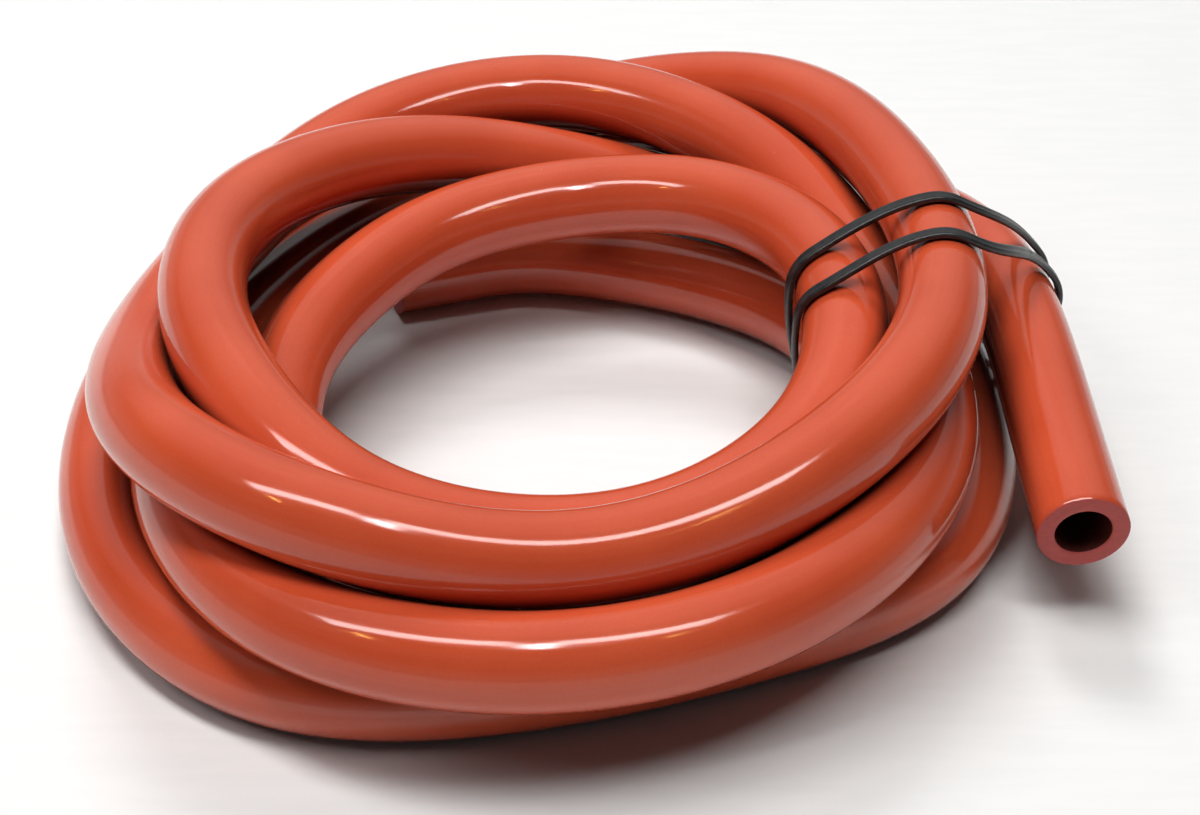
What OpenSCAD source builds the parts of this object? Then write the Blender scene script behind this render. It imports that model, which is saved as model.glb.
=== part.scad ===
// Rubber gas tubing: one length of smooth tube wound by hand into a loose coil of five turns
// and held at its right-hand side by a flat wire tie that goes round it twice.
// Sizes are in mm, +Z is up, the lowest turns lie on Z = 0 and the free end points to -Y.

/* [Tube] */
// Diameter of the bore
tube_bore = 8; // [5:0.5:10]
// Thickness of the wall all round the bore
tube_wall = 2.5; // [1.5:0.25:4]
// Depth of the straight round bore at the free end
bore_depth = 25; // [10:1:25]
// Width of the broken edge round the mouth of the bore
mouth_edge = 0.2; // [0.1:0.05:0.5]

/* [Coil] */
// Clear gap left between turns that lie against each other
turn_gap = 0.25; // [0.25:0.05:1]
// How far the coil is opened out, as a factor on the radius of every turn
coil_open = 1; // [1:0.05:1.4]
// Downward slope of the free end, in degrees
free_slope = 7; // [0:1:12]

/* [Tie] */
// Width of the flat wire tie
tie_w = 2.2; // [1.6:0.1:3]
// Thickness of the wire tie
tie_t = 1.1; // [0.8:0.1:1.4]
// Clearance between the tie and the tube
tie_gap = 0.25; // [0.2:0.05:0.4]
// Length of the twisted ends of the tie
twist_len = 10; // [6:1:14]

/* [Hidden] */

// Outside diameter of the tube
tube_od = tube_bore + 2 * tube_wall;

// Centre-to-centre distance of turns that touch
pitch = tube_od + turn_gap;

// The coil's winding axis stands here, so that the whole coil sits centred on the origin
axis_at = [-3.5, -7.5, 0];

// Angle between two stations along a turn
step_deg = 30;

// A smooth curve through stations on a circle runs inside them by this factor
round_off = (2 + cos(step_deg)) / 3;

// Stations of the tube's centre line, [radius, height] in pitches. A height of 0.5 lies on the floor.
// The first turn starts at 30 degrees from +X, and every later turn at 0 degrees, anticlockwise from above.
first_turn = [
    [5.75, 1.5], [6.05, 1.0], [5.6, 0.7], [5.2, 0.5], [4.35, 0.5],
    [4.0, 0.7], [4.45, 1.4], [5.25, 1.55], [5.25, 1.5], [5.0, 1.5], [4.65, 1.55]
];
second_turn = [
    [4.2, 1.45], [4.3, 1.5], [4.75, 2.15], [5.45, 2.25], [5.2, 2.05], [4.6, 1.5],
    [4.45, 1.65], [4.8, 2.4], [4.85, 2.65], [4.25, 1.85], [4.1, 2.05], [4.3, 2.6]
];
third_turn = [
    [4.4, 2.5], [4.7, 2.6], [6.05, 2.4], [6.45, 1.35], [6.25, 0.55], [5.4, 0.5],
    [5.05, 0.5], [5.2, 0.5], [5.2, 0.5], [4.25, 0.5], [4.1, 0.5], [5.0, 0.5]
];
fourth_turn = [
    [4.85, 0.65], [5.1, 0.65], [4.9, 0.85], [4.2, 1.65], [3.9, 2.35], [4.05, 2.45],
    [3.8, 2.6], [3.7, 2.55], [3.85, 1.95], [3.3, 1.4], [3.25, 1.4], [3.4, 1.75]
];
fifth_turn = [
    [3.35, 2.1], [3.45, 2.1], [3.4, 2.0], [2.95, 1.85], [2.8, 1.75], [2.75, 1.5],
    [3.05, 1.2], [3.2, 0.65], [3.1, 0.5], [2.9, 0.5], [2.85, 0.5], [3.2, 0.5]
];
last_run = [[3.6, 0.65], [3.9, 0.65], [3.75, 0.5]];
stations = concat(first_turn, second_turn, third_turn, fourth_turn, fifth_turn, last_run);

// Free end: where its cut face is, in pitches, the way it points and the spacing of its straight run
free_tip = [5.65, -2.85, 1.2];
free_heading = -88;
free_step = 26;

// Tucked end, inside the coil at the back on the floor
far_tip = [-1.75, 3.65, 0.5];
far_heading = 190;
far_step = 13;
far_bore = 12;

// Sections of the sweep: sides of the outer wall, sides of the channel and rings between stations
wall_sides = 16;
bore_sides = 8;
rings = 3;

// The channel is drawn a little small, so that the round bores at the ends clear it away
channel_r = tube_bore / 2 - 0.15;

// The sweep runs on past both ends by this much, and is then cut off square
spare = 1;

// Winding angles where the tie lies on a strand, in order round the bundle, twice.
// The first and last only give the direction of the two ends.
tie_over = [14, 1089, 1806.5, 1451, 731, 8, 1086.5, 1803, 1439, 721, 0, 1084];
tie_steps = 6;

// Strands of that list on either side of the hollow where the two ends are twisted together
hollow = [5, 6];
twist_turns = 1.5;
twist_steps = 20;
bend_steps = 5;

function height(layer) = (layer - 0.5) * pitch + tube_od / 2;

function place(p) = axis_at + [p[0] * pitch * coil_open, p[1] * pitch * coil_open, height(p[2])];

function heading(a, slope) = [cos(a) * cos(slope), sin(a) * cos(slope), -sin(slope)];

function unit(v) = v / norm(v);

free_dir = heading(free_heading, free_slope);
far_dir = heading(far_heading, 0);

// Control points of the whole centre line, from the free end to the tucked end
controls = concat(
    [for (k = [-1:2]) place(free_tip) - k * free_step * free_dir],
    [for (k = [0:len(stations) - 1])
        let (a = step_deg * (k + 1), r = stations[k][0] / round_off)
        place([r * cos(a), r * sin(a), stations[k][1]])],
    [for (k = [-2:1]) place(far_tip) + k * far_step * far_dir]
);
spans = len(controls) - 3;

// Smooth cubic curve through the control points and its direction, at s spans from the free end
function curve(s) =
    let (i = min(floor(s), spans - 1), u = s - i)
    (pow(1 - u, 3) * controls[i] + (3 * pow(u, 3) - 6 * pow(u, 2) + 4) * controls[i + 1]
        + (3 * u + 3 * pow(u, 2) - 3 * pow(u, 3) + 1) * controls[i + 2] + pow(u, 3) * controls[i + 3]) / 6;

function direction(s) =
    let (i = min(floor(s), spans - 1), u = s - i)
    unit((3 * pow(u, 2) - 4 * u) * controls[i + 1] - pow(1 - u, 2) * controls[i]
        + (1 + 2 * u - 3 * pow(u, 2)) * controls[i + 2] + pow(u, 2) * controls[i + 3]);

// Spans from the free end to a winding angle
function winding(w) = 2 + w / step_deg;

// Length that the sweep has beyond its two ends
function beyond(s) = s == 0 ? spare * free_dir : s == spans ? spare * far_dir : [0, 0, 0];

// Points of a round section across the centre line
function section(s, r, sides) =
    let (c = curve(s) + beyond(s), t = direction(s), side = unit(cross(t, [0, 0, 1])), up = cross(side, t))
    [for (j = [0:sides - 1]) c + r * cos(360 * j / sides) * side + r * sin(360 * j / sides) * up];

module swept_tube() {
    n = spans * rings;
    row = wall_sides + bore_sides;
    points = [for (i = [0:n]) each concat(
        section(i / rings, tube_od / 2, wall_sides),
        section(i / rings, channel_r, bore_sides))];
    wall = [for (i = [0:n - 1]) for (j = [0:wall_sides - 1])
        let (k = (j + 1) % wall_sides, a = i * row, b = a + row)
        each [[a + j, a + k, b + k], [a + j, b + k, b + j]]];
    channel = [for (i = [0:n - 1]) for (j = [0:bore_sides - 1])
        let (k = (j + 1) % bore_sides, a = i * row + wall_sides, b = a + row)
        each [[a + j, b + k, a + k], [a + j, b + j, b + k]]];
    near = [for (j = [0:bore_sides - 1])
        let (k = (j + 1) % bore_sides, o = 2 * j, p = (2 * j + 2) % wall_sides)
        each [[wall_sides + j, o + 1, o], [wall_sides + j, wall_sides + k, o + 1],
            [wall_sides + k, p, o + 1]]];
    last = n * row;
    far = [for (f = near) [f[0] + last, f[2] + last, f[1] + last]];
    polyhedron(points = points, faces = concat(wall, channel, near, far), convexity = 10);
}

// What is cut away at an end of the tube: the spare length, square, and the round bore with its mouth
module cut_end(tip, dir, depth) {
    flare = mouth_edge + spare;
    translate(tip)
        rotate([0, acos(dir[2]), atan2(dir[1], dir[0])]) {
            cylinder(d = tube_od + turn_gap, h = 2 * spare, $fn = 64);
            translate([0, 0, -depth])
                cylinder(d = tube_bore, h = depth + spare, $fn = 64);
            translate([0, 0, -mouth_edge])
                cylinder(d1 = tube_bore, d2 = tube_bore + 2 * flare, h = flare, $fn = 64);
        }
}

module tube() {
    color([0.7, 0.2, 0.13])
        difference() {
            swept_tube();
            cut_end(place(free_tip), free_dir, bore_depth);
            cut_end(place(far_tip), far_dir, far_bore);
        }
}

// Distance from a strand's centre to the middle of the tie
tie_r = tube_od / 2 + tie_gap + tie_t / 2;

// Strands under the tie: centre, the directions across it, and its radius and height in the coil
held = [for (w = tie_over) curve(winding(w))];
out = [for (w = tie_over) unit(cross(direction(winding(w)), [0, 0, 1]))];
top = [for (i = [0:len(held) - 1]) cross(out[i], direction(winding(tie_over[i])))];
flat = [for (c = held) [norm([c[0] - axis_at[0], c[1] - axis_at[1]]), c[2]]];

// Angle of the taut stretch from one strand to the next
function lean(i) = let (d = flat[i + 1] - flat[i]) atan2(d[0], -d[1]);

function turned(a, from) = a - 360 * ceil((a - from) / 360);

function facing(i, a) = cos(a) * out[i] + sin(a) * top[i];

function rim(i, a) = held[i] + tie_r * facing(i, a);

last_held = len(held) - 2;
arcs = [for (i = [1:last_held])
    let (a = lean(i - 1), b = turned(lean(i), a))
    for (k = [0:tie_steps]) let (c = a + (b - a) * k / tie_steps) [rim(i, c), facing(i, c)]];

// Hollow under the free end: the way along it, outwards and across it, and where the twist starts
hollow_in = lean(hollow[0]);
twist_along = direction(winding(tie_over[hollow[0]]));
twist_out = facing(hollow[0], hollow_in);
twist_across = cross(twist_along, twist_out);
twist_r = (tie_t + tie_gap) / 2;
twist_reach = norm([twist_r + tie_t / 2, tie_w / 2]);
twist_at = (rim(hollow[0], hollow_in) + rim(hollow[1], hollow_in)) / 2
    + (tie_t / 2 + tie_gap + twist_reach) * twist_out + tie_w * twist_along;

// One of the two twisted ends, f of the way along it: middle, facing and way of travel of the strip
function twisted(f, from) =
    let (a = from - 360 * twist_turns * f, n = cos(a) * twist_across + sin(a) * twist_out)
    [twist_at + f * twist_len * twist_along + twist_r * n, n, -cos(from) * twist_along];

// The bend from the coil into the twist, g of the way along it
function bend(g, start, away, from) =
    let (h = 1 - g, q = twisted(0, from), reach = 1.4 * tie_w)
    [pow(h, 3) * start[0] + 3 * pow(h, 2) * g * (start[0] + reach * away)
        + 3 * h * pow(g, 2) * (q[0] - reach * twist_along) + pow(g, 3) * q[0],
        unit(h * start[1] + g * q[1])];

// Whole run of the tie, from one twisted end to the other
tie_first = arcs[0];
tie_last = arcs[len(arcs) - 1];
first_away = unit(rim(0, lean(0)) - tie_first[0]);
last_away = unit(rim(last_held + 1, lean(last_held)) - tie_last[0]);
tie_run = concat(
    [for (k = [twist_steps:-1:0]) twisted(k / twist_steps, 0)],
    [for (k = [bend_steps:-1:1]) bend(k / (bend_steps + 1), tie_first, first_away, 0)],
    arcs,
    [for (k = [1:bend_steps]) bend(k / (bend_steps + 1), tie_last, last_away, 180)],
    [for (k = [0:twist_steps]) twisted(k / twist_steps, 180)]
);

// Flat section with a ridge along each edge
tie_section = [[-1, 0], [-0.6, 1], [0, 0.5], [0.6, 1], [1, 0], [0.6, -1], [0, -0.5], [-0.6, -1]];
tie_cap = [[0, 1, 2], [0, 2, 6], [0, 6, 7], [2, 3, 4], [2, 4, 6], [4, 5, 6]];

module tie_band() {
    n = len(tie_run) - 1;
    m = len(tie_section);
    points = [for (i = [0:n])
        let (run = tie_run[min(i + 1, n)][0] - tie_run[max(i - 1, 0)][0],
            t = len(tie_run[i]) > 2 ? tie_run[i][2] : unit(run),
            side = unit(cross(t, tie_run[i][1])), up = cross(side, t))
        for (q = tie_section) tie_run[i][0] + q[0] * tie_w / 2 * side + q[1] * tie_t / 2 * up];
    skin = [for (i = [0:n - 1]) for (j = [0:m - 1])
        let (k = (j + 1) % m, a = i * m, b = a + m)
        each [[a + j, b + k, a + k], [a + j, b + j, b + k]]];
    near = tie_cap;
    far = [for (f = tie_cap) [n * m + f[0], n * m + f[2], n * m + f[1]]];
    polyhedron(points = points, faces = concat(skin, near, far), convexity = 10);
}

module tie() {
    color([0.06, 0.06, 0.06])
        tie_band();
}

tube();
tie();
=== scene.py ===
"""Rubber gas tubing in a loose coil, held by a black wire tie, on a plain pale floor."""
import math
from collections import namedtuple

import bmesh
import bpy
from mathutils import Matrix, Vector


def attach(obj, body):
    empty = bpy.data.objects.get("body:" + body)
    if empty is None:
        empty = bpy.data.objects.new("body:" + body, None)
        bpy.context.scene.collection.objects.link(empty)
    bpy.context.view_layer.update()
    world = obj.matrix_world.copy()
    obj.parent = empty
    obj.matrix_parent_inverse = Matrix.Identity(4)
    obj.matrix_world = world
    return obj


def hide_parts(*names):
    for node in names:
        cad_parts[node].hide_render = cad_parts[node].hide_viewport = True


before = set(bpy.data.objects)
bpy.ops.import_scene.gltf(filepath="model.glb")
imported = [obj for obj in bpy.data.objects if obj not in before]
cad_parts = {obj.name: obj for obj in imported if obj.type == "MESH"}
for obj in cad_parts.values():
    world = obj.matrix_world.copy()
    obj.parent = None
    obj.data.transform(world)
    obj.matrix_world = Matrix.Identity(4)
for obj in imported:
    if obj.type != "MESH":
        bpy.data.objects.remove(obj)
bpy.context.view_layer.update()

# Tube and coil, in metres and degrees
TUBE_R = 0.0065
BORE_R = 0.004
TURN_GAP = 0.00025
PITCH = 2 * TUBE_R + TURN_GAP
AXIS = Vector((-0.0035, -0.0075, 0.0))
STEP_DEG = 30
STEP = math.radians(STEP_DEG)
ROUND_OFF = (2 + math.cos(STEP)) / 3

# Stations of the tube's centre line every 30 degrees, (radius, height) in pitches, with 0.5 on the floor.
# They repeat part.scad's. Two hidden ones, at 90 and 120 degrees of the first turn, are moved to close a gap.
FIRST_TURN = [
    (5.75, 1.5), (6.05, 1.0), (5.5, 0.85), (5.25, 0.5), (4.35, 0.5),
    (4.0, 0.7), (4.45, 1.4), (5.25, 1.55), (5.25, 1.5), (5.0, 1.5), (4.65, 1.55),
]
SECOND_TURN = [
    (4.2, 1.45), (4.3, 1.5), (4.75, 2.15), (5.45, 2.25), (5.2, 2.05), (4.6, 1.5),
    (4.45, 1.65), (4.8, 2.4), (4.85, 2.65), (4.25, 1.85), (4.1, 2.05), (4.3, 2.6),
]
THIRD_TURN = [
    (4.4, 2.5), (4.7, 2.6), (6.05, 2.4), (6.45, 1.35), (6.25, 0.55), (5.4, 0.5),
    (5.05, 0.5), (5.2, 0.5), (5.2, 0.5), (4.25, 0.5), (4.1, 0.5), (5.0, 0.5),
]
FOURTH_TURN = [
    (4.85, 0.65), (5.1, 0.65), (4.9, 0.85), (4.2, 1.65), (3.9, 2.35), (4.05, 2.45),
    (3.8, 2.6), (3.7, 2.55), (3.85, 1.95), (3.3, 1.4), (3.25, 1.4), (3.4, 1.75),
]
FIFTH_TURN = [
    (3.35, 2.1), (3.45, 2.1), (3.4, 2.0), (2.95, 1.85), (2.8, 1.75), (2.75, 1.5),
    (3.05, 1.2), (3.2, 0.65), (3.1, 0.5), (2.9, 0.5), (2.85, 0.5), (3.2, 0.5),
]
LAST_RUN = [(3.6, 0.65), (3.9, 0.65), (3.75, 0.5)]
STATIONS = FIRST_TURN + SECOND_TURN + THIRD_TURN + FOURTH_TURN + FIFTH_TURN + LAST_RUN

# Free end: its cut face in pitches, the way it points and the spacing of its straight run
FREE_TIP = (5.65, -2.85, 1.2)
FREE_HEADING = -88
FREE_SLOPE = 7
FREE_STEP = 0.026
FREE_SPANS = 2

# Tucked end, which runs a few millimetres further than part.scad's, behind the next strand
FAR_TIP = (-2.1, 3.4, 0.5)
FAR_HEADING = 199
FAR_STEP = 0.013


def place(x, y, layer):
    """A point given in pitches, in the frame."""
    return AXIS + Vector((x * PITCH, y * PITCH, (layer - 0.5) * PITCH + TUBE_R))


def heading(turn, slope):
    """Direction that points turn degrees from +X and slope degrees down."""
    a, s = math.radians(turn), math.radians(slope)
    return Vector((math.cos(a) * math.cos(s), math.sin(a) * math.cos(s), -math.sin(s)))


FREE_DIR = heading(FREE_HEADING, FREE_SLOPE)
FAR_DIR = heading(FAR_HEADING, 0)
CONTROLS = [place(*FREE_TIP) - k * FREE_STEP * FREE_DIR for k in (-1, 0, 1, 2)]
for n, (radius, layer) in enumerate(STATIONS):
    angle = STEP * (n + 1)
    wide = radius / ROUND_OFF
    CONTROLS.append(place(wide * math.cos(angle), wide * math.sin(angle), layer))
CONTROLS += [place(*FAR_TIP) + k * FAR_STEP * FAR_DIR for k in (-2, -1, 0, 1)]
SPANS = len(CONTROLS) - 3


def span(s):
    """How far along its span a point is, s spans from the free end, and the span's four control points."""
    i = max(0, min(math.floor(s), SPANS - 1))
    return s - i, CONTROLS[i:i + 4]


def curve(s):
    u, (a, b, c, d) = span(s)
    return ((1 - u) ** 3 * a + (3 * u ** 3 - 6 * u ** 2 + 4) * b
            + (3 * u + 3 * u ** 2 - 3 * u ** 3 + 1) * c + u ** 3 * d) / 6


def direction(s):
    u, (a, b, c, d) = span(s)
    return ((3 * u ** 2 - 4 * u) * b - (1 - u) ** 2 * a
            + (1 + 2 * u - 3 * u ** 2) * c + u ** 2 * d).normalized()


def across(s):
    """Sideways and upwards across the centre line."""
    t = direction(s)
    side = t.cross(Vector((0, 0, 1))).normalized()
    return side, side.cross(t)


def winding(degrees):
    """Spans from the free end to a winding angle."""
    return FREE_SPANS + degrees / STEP_DEG


def new_object(name, bm, smooth=True):
    mesh = bpy.data.meshes.new(name)
    bm.normal_update()
    bm.to_mesh(mesh)
    bm.free()
    for p in mesh.polygons:
        p.use_smooth = smooth
    obj = bpy.data.objects.new(name, mesh)
    bpy.context.scene.collection.objects.link(obj)
    return obj


# Mesh of the tube: sides of a ring, rings in a span, and the share of them that the bore and the path take
TUBE_SIDES = 48
TUBE_RINGS = 18
BORE_EVERY = 3

# Rings of a cut end from the outer wall to the bore: radius, and how many rims it lies behind the cut
RIM = 0.0002
FACE_EDGE = 5 * RIM
CUT_RINGS = (
    (TUBE_R, 0.7), (TUBE_R - RIM, 0.0), (TUBE_R - FACE_EDGE, 0.3),
    (BORE_R + FACE_EDGE, 0.0), (BORE_R + RIM, 0.2), (BORE_R, 1.0),
)

# Order of the tube's materials
WALL, CUT, BORE = range(3)


def build_tube():
    """The tube, the points of its centre line and its length."""
    bm = bmesh.new()
    grain = bm.verts.layers.float_vector.new("grain")
    points = [curve(k / TUBE_RINGS) for k in range(SPANS * TUBE_RINGS + 1)]
    run = [0.0]
    for p, q in zip(points, points[1:]):
        run.append(run[-1] + (q - p).length)

    def ring(s, r, reach, shift=0.0):
        side, up = across(s)
        c = curve(s) + direction(s) * shift
        out = []
        for j in range(TUBE_SIDES):
            a = 2 * math.pi * j / TUBE_SIDES
            v = bm.verts.new(c + r * math.cos(a) * side + r * math.sin(a) * up)
            v[grain] = (r * math.cos(a), r * math.sin(a), reach)
            out.append(v)
        return out

    def skin(rings, material, inwards=False):
        for a, b in zip(rings, rings[1:]):
            if inwards:
                a, b = b, a
            for j in range(TUBE_SIDES):
                k = (j + 1) % TUBE_SIDES
                bm.faces.new((a[j], b[j], b[k], a[k])).material_index = material

    def cut_end(s, way, reach):
        """Rings of a squarely cut end, with its edges just broken."""
        return [ring(s, r, reach, way * RIM * back) for r, back in CUT_RINGS]

    steps = range(1, len(points) - 1)
    near = cut_end(0, 1, 0.0)
    far = cut_end(SPANS, -1, run[-1])
    outer = [ring(k / TUBE_RINGS, TUBE_R, run[k]) for k in steps]
    inner = [ring(k / TUBE_RINGS, BORE_R, run[k]) for k in steps if k % BORE_EVERY == 0]
    skin([near[0]] + outer + [far[0]], WALL)
    skin([near[-1]] + inner + [far[-1]], BORE, inwards=True)
    skin(near, CUT, inwards=True)
    skin(far, CUT)
    return new_object("rubber_tube", bm), points, run[-1]


tube, line, length = build_tube()
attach(tube, "root")
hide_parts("tube")

# Tie: its strip, its clearance from the tube and its distance from a strand's middle
TIE_W = 0.0022
TIE_T = 0.0011
TIE_GAP = 0.00025
TIE_R = TUBE_R + TIE_GAP + TIE_T / 2

# Winding angles where the tie lies on a strand, in order round the bundle, twice.
# The first and last only give the direction of the two ends.
TIE_OVER = (14, 1089, 1806.5, 1451, 731, 8, 1086.5, 1803, 1439, 721, 0, 1084)

# Strands of that list on either side of the hollow where the two ends are twisted together
HOLLOW = (5, 6)
TWIST_LEN = 0.010
TWIST_TURNS = 1.5
TWIST_STEPS = 36
BEND_REACH = 1.4 * TIE_W
BEND_STEPS = 12

# How early the stiff strip leaves a strand, at most, and the share of its arc there that this may take
TIE_BOW = math.radians(12)
TIE_BOW_SHARE = 0.45
TIE_BOW_STEPS = 14
TIE_ARC_STEP = 0.1
TIE_ARC_LEAST = 3

# Lowest that the middle of a bowed stretch comes to the floor
TIE_FLOOR = 0.6 * TIE_T

# Section of the strip: how square its sides and faces are, and the groove between its two wires
TIE_SIDES = 24
TIE_SIDE_POWER = 0.7
TIE_FACE_POWER = 0.55
TIE_GROOVE_DEPTH = 0.42
TIE_GROOVE_W = 0.22

Strand = namedtuple("Strand", "middle out top radius")


def strand_at(degrees):
    s = winding(degrees)
    middle = curve(s)
    out, top = across(s)
    return Strand(middle, out, top, math.hypot(middle.x - AXIS.x, middle.y - AXIS.y))


HELD = [strand_at(degrees) for degrees in TIE_OVER]
LAST_HELD = len(HELD) - 2


def lean(i):
    """Angle round a strand at which a taut strip would leave it for the next one."""
    a, b = HELD[i], HELD[i + 1]
    return math.atan2(b.radius - a.radius, a.middle.z - b.middle.z)


def facing(i, a):
    return math.cos(a) * HELD[i].out + math.sin(a) * HELD[i].top


def rim(i, a):
    """Middle of the strip at an angle round a strand."""
    return HELD[i].middle + TIE_R * facing(i, a)


def along(i, a):
    """Way of travel of the strip at an angle round a strand."""
    return math.sin(a) * HELD[i].out - math.cos(a) * HELD[i].top


def bow(start, end):
    """The stiff strip's stretch between two strands, from where it leaves one to where it meets the next."""
    (p, f, t), (q, g, u) = start, end
    far = (q - p).length
    points = []
    for k in range(1, TIE_BOW_STEPS):
        v = k / TIE_BOW_STEPS
        h = 1 - v
        c = (h * h * (1 + 2 * v) * p + v * v * (3 - 2 * v) * q
             + far * (v * h * h * t - v * v * h * u))
        c.z = max(c.z, TIE_FLOOR)
        points.append((c, (h * f + v * g).normalized()))
    return points


def strip_round_strands():
    """Middle and facing of the strip where it goes round the strands and bows from one to the next."""
    points = []
    left = None
    for i in range(1, LAST_HELD + 1):
        a = lean(i - 1)
        b = lean(i)
        b -= 2 * math.pi * math.ceil((b - a) / (2 * math.pi))
        trim = min(TIE_BOW, (a - b) * TIE_BOW_SHARE)
        a -= trim if i > 1 else 0
        b += trim if i < LAST_HELD else 0
        if left:
            points += bow(left, (rim(i, a), facing(i, a), along(i, a)))
        steps = max(TIE_ARC_LEAST, int(abs(b - a) / TIE_ARC_STEP))
        for k in range(steps + 1):
            c = a + (b - a) * k / steps
            points.append((rim(i, c), facing(i, c)))
        left = rim(i, b), facing(i, b), along(i, b)
    return points


def tie_run():
    """Middle and facing of the strip from end to end, and its way of travel too where it is twisted."""
    arcs = strip_round_strands()
    before, after = HOLLOW
    into = lean(before)
    ahead = direction(winding(TIE_OVER[before]))
    out = facing(before, into)
    side = ahead.cross(out)
    r = (TIE_T + TIE_GAP) / 2
    reach = math.hypot(r + TIE_T / 2, TIE_W / 2)
    base = ((rim(before, into) + rim(after, into)) / 2
            + (TIE_T / 2 + TIE_GAP + reach) * out + TIE_W * ahead)

    def twisted(f, start):
        a = start - 2 * math.pi * TWIST_TURNS * f
        n = math.cos(a) * side + math.sin(a) * out
        return base + f * TWIST_LEN * ahead + r * n, n, -math.cos(start) * ahead

    def bend(g, start, away, turn):
        h = 1 - g
        q = twisted(0, turn)
        p = (h ** 3 * start[0] + 3 * h ** 2 * g * (start[0] + BEND_REACH * away)
             + 3 * h * g ** 2 * (q[0] - BEND_REACH * ahead) + g ** 3 * q[0])
        return p, (h * start[1] + g * q[1]).normalized()

    first = (rim(0, lean(0)) - arcs[0][0]).normalized()
    final = (rim(LAST_HELD + 1, lean(LAST_HELD)) - arcs[-1][0]).normalized()
    twist = [k / TWIST_STEPS for k in range(TWIST_STEPS + 1)]
    turn = [k / BEND_STEPS for k in range(1, BEND_STEPS)]
    run = [twisted(f, 0) for f in reversed(twist)]
    run += [bend(g, arcs[0], first, 0) for g in reversed(turn)]
    run += arcs
    run += [bend(g, arcs[-1], final, math.pi) for g in turn]
    run += [twisted(f, math.pi) for f in twist]
    return run


def tie_section():
    """Outline of the flat strip, from -1 to 1 both ways, with a wire's bead along each half."""
    points = []
    for k in range(TIE_SIDES):
        a = 2 * math.pi * k / TIE_SIDES
        x = math.copysign(abs(math.cos(a)) ** TIE_SIDE_POWER, math.cos(a))
        y = math.copysign(abs(math.sin(a)) ** TIE_FACE_POWER, math.sin(a))
        groove = TIE_GROOVE_DEPTH * math.exp(-(x / TIE_GROOVE_W) ** 2)
        points.append((x, y * (1 - groove)))
    return points


def build_tie():
    run = tie_run()
    section = tie_section()
    bm = bmesh.new()
    rings = []
    for i, (c, up, *travel) in enumerate(run):
        if travel:
            t = travel[0]
        else:
            t = (run[i + 1][0] - run[i - 1][0]).normalized()
        side = t.cross(up).normalized()
        up = side.cross(t)
        rings.append([bm.verts.new(c + x * TIE_W / 2 * side + y * TIE_T / 2 * up) for x, y in section])
    for a, b in zip(rings, rings[1:]):
        for j in range(TIE_SIDES):
            k = (j + 1) % TIE_SIDES
            bm.faces.new((a[j], b[j], b[k], a[k]))
    bm.faces.new(rings[0])
    bm.faces.new(rings[-1][::-1])
    bmesh.ops.recalc_face_normals(bm, faces=bm.faces)
    return new_object("wire_tie", bm)


tie = build_tie()
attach(tie, "root")
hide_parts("tie")

# Camera, fitted to the photograph: where it looks, how far down and from how far, and its focal length
LOOK_AT = Vector((0.0045, -0.0125, 0.014))
LOOK_HEADING = 90
LOOK_DOWN = 35
LOOK_FROM = 0.325
IMAGE_W = 1200
FOCAL_PX = 2150
SENSOR_MM = 36
CLIP_START = 0.01


def build_camera():
    camera = bpy.data.objects.new("camera", bpy.data.cameras.new("camera"))
    bpy.context.scene.collection.objects.link(camera)
    view = heading(LOOK_HEADING, LOOK_DOWN)
    camera.location = LOOK_AT - LOOK_FROM * view
    camera.rotation_euler = view.to_track_quat("-Z", "Y").to_euler()
    camera.data.sensor_width = SENSOR_MM
    camera.data.lens = SENSOR_MM * FOCAL_PX / IMAGE_W
    camera.data.clip_start = CLIP_START
    bpy.context.scene.camera = camera


build_camera()


class Nodes:
    """Short calls for the nodes of a material or the world."""

    def __init__(self, tree):
        self.tree = tree

    def add(self, kind, links=(), **values):
        node = self.tree.nodes.new(kind)
        for key, value in values.items():
            setattr(node, key, value)
        for socket, source in links:
            self.put(node.inputs[socket], source)
        return node

    def put(self, socket, source):
        if isinstance(source, bpy.types.NodeSocket):
            self.tree.links.new(source, socket)
        else:
            socket.default_value = source

    def coordinate(self, name):
        return self.add("ShaderNodeTexCoord").outputs[name]

    def ray(self, name):
        return self.add("ShaderNodeLightPath").outputs[name]

    def ramp(self, source, low, high, to_low=0.0, to_high=1.0):
        node = self.add("ShaderNodeMapRange", [("Value", source), ("From Min", low), ("From Max", high),
                                               ("To Min", to_low), ("To Max", to_high)])
        return node.outputs["Result"]

    def math(self, what, a, b):
        node = self.add("ShaderNodeMath", [(0, a), (1, b)], operation=what)
        return node.outputs["Value"]

    def dot(self, a, b):
        node = self.add("ShaderNodeVectorMath", operation="DOT_PRODUCT")
        self.put(node.inputs[0], a)
        self.put(node.inputs[1], b)
        return node.outputs["Value"]


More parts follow.
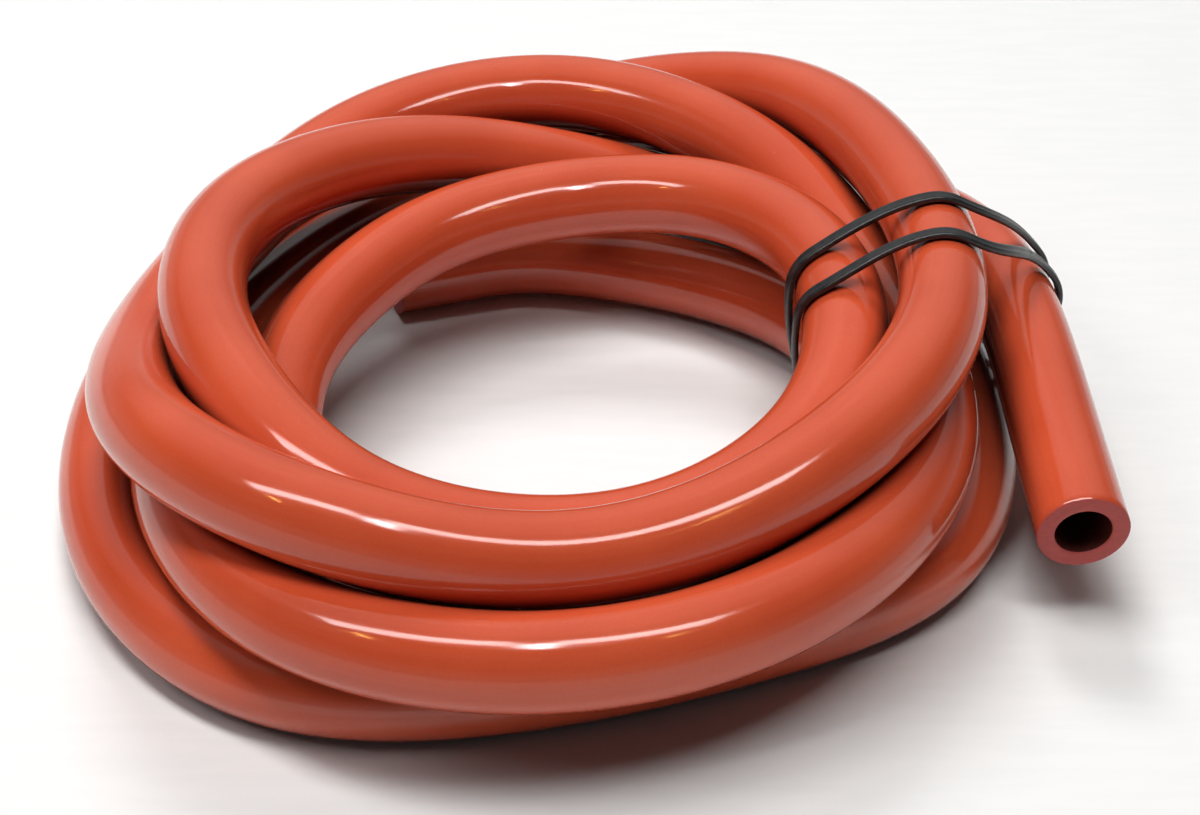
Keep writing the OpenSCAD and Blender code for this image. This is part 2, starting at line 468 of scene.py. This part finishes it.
class Shader(Nodes):
    """A new material, with short calls for its textures and its shader's sockets."""

    def __init__(self, name):
        self.mat = bpy.data.materials.new(name)
        self.mat.use_nodes = True
        super().__init__(self.mat.node_tree)
        self.bsdf = self.tree.nodes["Principled BSDF"]

    def set(self, socket, source):
        self.put(self.bsdf.inputs[socket], source)

    def noise(self, vector, scale, detail):
        node = self.add("ShaderNodeTexNoise", [("Vector", vector), ("Scale", scale), ("Detail", detail)])
        return node.outputs["Fac"]

    def stretch(self, vector, scale):
        node = self.add("ShaderNodeMapping", [("Vector", vector), ("Scale", scale)])
        return node.outputs["Vector"]

    def mix(self, fac, a, b):
        # A Mix node's colour sockets come after its number and vector ones
        node = self.add("ShaderNodeMix", [(0, fac)], data_type="RGBA")
        self.put(node.inputs[6], a)
        self.put(node.inputs[7], b)
        return node.outputs[2]

    def bump(self, height, strength, distance, normal=None):
        node = self.add("ShaderNodeBump", [("Height", height), ("Strength", strength),
                                           ("Distance", distance)])
        if normal is not None:
            self.put(node.inputs["Normal"], normal)
        return node.outputs["Normal"]

    def attribute(self, name):
        return self.add("ShaderNodeAttribute", attribute_name=name).outputs["Vector"]

    def open_air(self, distance, samples):
        """How far a point is open to the air around it, from 0 deep in a crevice to 1."""
        node = self.add("ShaderNodeAmbientOcclusion", [("Distance", distance)], samples=samples)
        return node.outputs["AO"]

    def specks(self, vector, scale, size, share):
        """Sparse round specks, one in some of the cells of a grid of this scale."""
        cell = self.add("ShaderNodeTexVoronoi", [("Vector", vector), ("Scale", scale)])
        dot = self.math("LESS_THAN", cell.outputs["Distance"], size)
        pick = self.add("ShaderNodeSeparateColor", [("Color", cell.outputs["Color"])]).outputs[0]
        return self.math("MULTIPLY", dot, self.math("LESS_THAN", pick, share))


# Rubber: the red, its moulding lines, its fine grain, painted shade in its crevices and the dust on it
RED = ((0.60, 0.079, 0.028, 1), (0.67, 0.099, 0.038, 1))
LINE_RED = (0.72, 0.125, 0.06, 1)
GRAIN_RED = (0.47, 0.046, 0.018, 1)
CREVICE_SHADE_RED = (0.06, 0.011, 0.008, 1)
DUST = (0.8, 0.66, 0.6, 1)
RUBBER_IOR = 1.52
AIR_REACH = 0.05
AIR_SAMPLES = 6

# Cut face, and the bore, whose near-black red is painted shade for the dark inside of the tube
CUT_RED = ((0.44, 0.056, 0.046, 1), (0.53, 0.075, 0.062, 1))
PORE_RED = (0.28, 0.034, 0.026, 1)
BORE_SHADE_RED = ((0.060, 0.010, 0.007, 1), (0.085, 0.015, 0.010, 1))
BORE_SHADE_DARK = (0.03, 0.006, 0.005, 1)
BORE_IOR = 1.2

# Tie and floor
TIE_BLACK = ((0.013, 0.014, 0.015, 1), (0.028, 0.029, 0.031, 1))
FLOOR_PALE = ((0.90, 0.91, 0.91, 1), (0.92, 0.925, 0.925, 1))


def rubber():
    m = Shader("red_rubber")
    at = m.coordinate("Object")
    lines = m.noise(m.stretch(m.attribute("grain"), (1, 1, 0.02)), scale=1500, detail=3)
    clouds = m.noise(at, scale=45, detail=3)
    fine = m.noise(at, scale=2600, detail=2)
    large = m.specks(at, scale=170, size=0.016, share=0.16)
    small = m.specks(at, scale=330, size=0.018, share=0.05)
    dust = m.math("MAXIMUM", large, small)
    color = m.mix(m.ramp(clouds, 0.35, 0.65), *RED)
    color = m.mix(m.ramp(lines, 0.4, 0.62, 0.0, 0.09), color, LINE_RED)
    color = m.mix(m.ramp(fine, 0.45, 0.7, 0.0, 0.12), color, GRAIN_RED)
    # Painted shade: the red turns near black where the point is closed in, between and under the strands
    color = m.mix(m.ramp(m.open_air(AIR_REACH, AIR_SAMPLES), 0.08, 0.38), CREVICE_SHADE_RED, color)
    m.set("Base Color", m.mix(m.ramp(dust, 0, 1, 0.0, 0.75), color, DUST))
    rough = m.ramp(lines, 0.3, 0.7, 0.09, 0.15)
    m.set("Roughness", m.math("ADD", rough, m.ramp(dust, 0, 1, 0.0, 0.5)))
    m.set("IOR", RUBBER_IOR)
    grained = m.bump(fine, strength=0.06, distance=0.00002)
    m.set("Normal", m.bump(lines, strength=0.10, distance=0.00003, normal=grained))
    return m.mat


def cut_rubber():
    m = Shader("cut_rubber")
    at = m.coordinate("Object")
    saw = m.noise(m.stretch(at, (1, 1, 7)), scale=900, detail=3)
    pores = m.noise(at, scale=4200, detail=2)
    color = m.mix(m.ramp(saw, 0.35, 0.65), *CUT_RED)
    m.set("Base Color", m.mix(m.ramp(pores, 0.55, 0.75, 0.0, 0.5), color, PORE_RED))
    m.set("Roughness", m.ramp(saw, 0.3, 0.7, 0.5, 0.68))
    pitted = m.bump(pores, strength=0.2, distance=0.00005)
    m.set("Normal", m.bump(saw, strength=0.25, distance=0.0001, normal=pitted))
    return m.mat


def bore_rubber():
    m = Shader("bore_rubber")
    bloom = m.noise(m.stretch(m.attribute("grain"), (1, 1, 0.1)), scale=700, detail=3)
    spots = m.noise(m.coordinate("Object"), scale=3000, detail=2)
    # Painted shade: the bore's red is near black, with darker spots, for the shade inside the tube
    color = m.mix(m.ramp(bloom, 0.35, 0.65), *BORE_SHADE_RED)
    m.set("Base Color", m.mix(m.ramp(spots, 0.5, 0.7, 0.0, 0.4), color, BORE_SHADE_DARK))
    m.set("Roughness", m.ramp(bloom, 0.3, 0.7, 0.75, 0.9))
    m.set("IOR", BORE_IOR)
    return m.mat


def black_plastic():
    m = Shader("black_plastic")
    at = m.coordinate("Object")
    scuff = m.noise(at, scale=800, detail=3)
    fine = m.noise(at, scale=5200, detail=2)
    m.set("Base Color", m.mix(m.ramp(scuff, 0.4, 0.7), *TIE_BLACK))
    m.set("Roughness", m.ramp(scuff, 0.3, 0.7, 0.26, 0.4))
    m.set("Normal", m.bump(fine, strength=0.12, distance=0.00003))
    return m.mat


def pale_floor():
    m = Shader("pale_floor")
    weave = m.noise(m.stretch(m.coordinate("Object"), (1, 6, 1)), scale=60, detail=4)
    m.set("Base Color", m.mix(m.ramp(weave, 0.4, 0.6), *FLOOR_PALE))
    m.set("Roughness", m.ramp(weave, 0.3, 0.7, 0.55, 0.7))
    return m.mat


# In the order of WALL, CUT and BORE
for material in (rubber(), cut_rubber(), bore_rubber()):
    tube.data.materials.append(material)
tie.data.materials.append(black_plastic())

FLOOR_HALF = 3.0


def build_floor():
    bm = bmesh.new()
    bmesh.ops.create_grid(bm, x_segments=1, y_segments=1, size=FLOOR_HALF)
    floor = new_object("floor", bm, smooth=False)
    floor.data.materials.append(pale_floor())


build_floor()

# Lights: their colours, the point that the lamps face, and the strip lamp's place and aim
WHITE = (1.0, 1.0, 1.0)
SOFT_WHITE = (1.0, 0.99, 0.97)
FLASH = (0.95, 0.97, 1.0)
AMBER = (1.0, 0.6, 0.15)
MIDDLE = Vector((0.0, 0.0, 0.02))
LAMP_AT = Vector((0.0, -0.111, 0.313))
LAMP_TO = Vector((0.0, -0.07, 0.03))


def area(name, at, to, size, power, color, soft, gloss):
    """An area light at a point, facing another, with its long side along X."""
    light = bpy.data.lights.new(name, "AREA")
    light.shape = "RECTANGLE"
    light.size, light.size_y = size
    light.energy = power
    light.color = color
    obj = bpy.data.objects.new(name, light)
    obj.location = at
    obj.rotation_euler = (to - at).to_track_quat("-Z", "Y").to_euler()
    obj.visible_diffuse = soft
    obj.visible_glossy = gloss
    bpy.context.scene.collection.objects.link(obj)


def soft_light(name, at, size, power, color):
    """A light that shades the object and isn't seen in its gloss."""
    area(name, Vector(at), MIDDLE, size, power, color, soft=True, gloss=False)


def lamp(name, x0, x1, y, width, glow, color):
    """A part of the strip lamp from x0 to x1, seen only in reflections, y from its middle."""
    shift = Vector(((x0 + x1) / 2, y, 0.0))
    power = glow * math.pi * (x1 - x0) * width
    area(name, LAMP_AT + shift, LAMP_TO + shift, (x1 - x0, width), power, color, soft=False, gloss=True)


soft_light("key", at=(-0.10, -0.14, 1.2), size=(1.1, 0.25), power=10.9, color=SOFT_WHITE)
soft_light("fill", at=(-0.55, -0.2, 0.75), size=(0.5, 0.25), power=1.35, color=WHITE)
soft_light("window", at=(-0.12, 0.62, 0.85), size=(0.3, 0.3), power=4.5, color=WHITE)
lamp("lamp_left", x0=-0.21, x1=-0.014, y=0.0, width=0.05, glow=13, color=WHITE)
lamp("lamp_right", x0=0.020, x1=0.162, y=0.0, width=0.05, glow=13, color=WHITE)
lamp("flash_left", x0=-0.008, x1=0.000, y=-0.03, width=0.05, glow=30, color=FLASH)
lamp("flash_right", x0=0.005, x1=0.018, y=-0.035, width=0.06, glow=60, color=FLASH)
lamp("bulb_left", x0=-0.194, x1=-0.184, y=-0.08, width=0.035, glow=45, color=AMBER)
lamp("bulb_right", x0=0.150, x1=0.155, y=-0.08, width=0.035, glow=45, color=AMBER)

# World: the light it gives, and what its reflections show: a dim room, a bright side and a pale horizon
WORLD_LIGHT = 0.03
ROOM_DIM = 0.04
BRIGHT_SIDE = (0.0, 0.6, 0.8)
BRIGHT_FROM = 0.6
BRIGHT_FULL = 0.95
BRIGHT_LEVEL = 0.7
HORIZON_LEVEL = 0.45
HORIZON_TOP = 0.4


def studio():
    """A room that is bright above and behind the coil for what it reflects, and gives little light."""
    world = bpy.data.worlds.new("studio")
    world.use_nodes = True
    w = Nodes(world.node_tree)
    toward = w.coordinate("Generated")
    bright = w.ramp(w.dot(toward, BRIGHT_SIDE), BRIGHT_FROM, BRIGHT_FULL, ROOM_DIM, BRIGHT_LEVEL)
    height = w.add("ShaderNodeSeparateXYZ", [(0, toward)]).outputs["Z"]
    room = w.math("MAXIMUM", bright, w.ramp(height, 0.0, HORIZON_TOP, HORIZON_LEVEL, 0.0))
    back = w.tree.nodes["Background"]
    w.put(back.inputs["Color"], (*WHITE, 1.0))
    w.put(back.inputs["Strength"], w.ramp(w.ray("Is Glossy Ray"), 0.0, 1.0, WORLD_LIGHT, room))
    bpy.context.scene.world = world


studio()
bpy.context.scene.view_settings.view_transform = "Standard"
